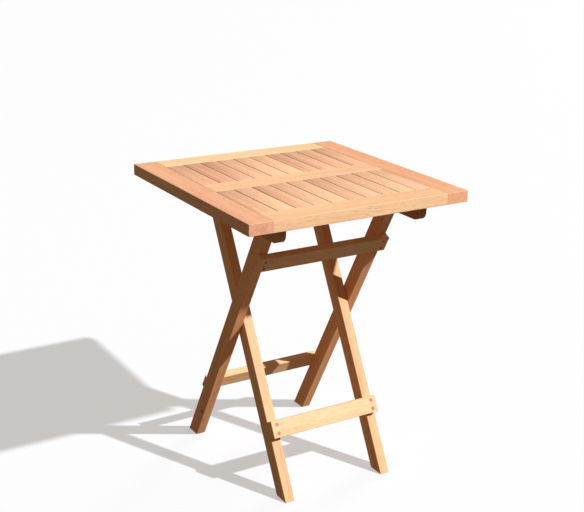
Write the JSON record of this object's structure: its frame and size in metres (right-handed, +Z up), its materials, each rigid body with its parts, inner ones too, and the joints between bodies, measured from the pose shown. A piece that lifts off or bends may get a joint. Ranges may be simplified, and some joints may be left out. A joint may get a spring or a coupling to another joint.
{
  "type": "folding picnic table",
  "caption": "Square slatted teak folding table on crossed legs joined by stretchers; the legs close like scissors and the top tilts with them.",
  "frame": {"origin": "on the floor under the middle of the top", "axes": "+X along the front edge to the right, +Y to the rear, +Z up"},
  "size_m": [0.6, 0.6, 0.75],
  "materials": {
    "teak_top_frame": "planed teak, oiled, soft satin",
    "teak_slats": "planed teak, oiled, soft satin",
    "teak_underframe": "planed teak, oiled, soft satin",
    "teak_plugs": "end-grain teak plugs, sanded flush",
    "stainless_steel": "satin stainless steel"
  },
  "bodies": {
    "outer_legs": {"outer_leg_left": "teak_underframe", "outer_leg_right": "teak_underframe", "upper_stretcher": "teak_underframe", "rear_stretcher": "teak_underframe", "upper_screws": "stainless_steel", "rear_screws": "stainless_steel", "rear_plugs": "teak_plugs", "crossing_pins": "stainless_steel", "crossing_washers": "stainless_steel"},
    "inner_legs": {"inner_leg_left": "teak_underframe", "inner_leg_right": "teak_underframe", "front_stretcher": "teak_underframe", "catch_bar": "teak_underframe", "front_screws": "stainless_steel", "front_plugs": "teak_plugs"},
    "table_top": {"batten_left": "teak_underframe", "batten_right": "teak_underframe", "batten_screws": "stainless_steel", "catch_rail": "teak_underframe", "catch_screws": "stainless_steel", "front_rail": "teak_top_frame", "front_slat_01": "teak_slats", "front_slat_02": "teak_slats", "front_slat_03": "teak_slats", "front_slat_04": "teak_slats", "front_slat_05": "teak_slats", "front_slat_06": "teak_slats", "front_slat_07": "teak_slats", "front_slat_08": "teak_slats", "front_slat_09": "teak_slats", "front_slat_10": "teak_slats", "middle_rail": "teak_top_frame", "pivot_bolts": "stainless_steel", "pivot_nuts": "stainless_steel", "pivot_washers": "stainless_steel", "rear_rail": "teak_top_frame", "rear_slat_01": "teak_slats", "rear_slat_02": "teak_slats", "rear_slat_03": "teak_slats", "rear_slat_04": "teak_slats", "rear_slat_05": "teak_slats", "rear_slat_06": "teak_slats", "rear_slat_07": "teak_slats", "rear_slat_08": "teak_slats", "rear_slat_09": "teak_slats", "rear_slat_10": "teak_slats", "stile_left": "teak_top_frame", "stile_right": "teak_top_frame"}
  },
  "joints": [
    {"name": "leg_fold", "type": "hinge", "parent": "outer_legs", "child": "inner_legs", "pos_m": [0, 0, 0.39978], "axis": [1, 0, 0], "range_deg": [0, 55.4]},
    {"name": "top_tilt", "type": "hinge", "parent": "outer_legs", "child": "table_top", "pos_m": [0, -0.16, 0.698], "axis": [1, 0, 0], "range_deg": [0, 27.7]}
  ],
  "couplings": [
    {"joint": "top_tilt", "follows": "leg_fold", "ratio": 0.5}
  ]
}
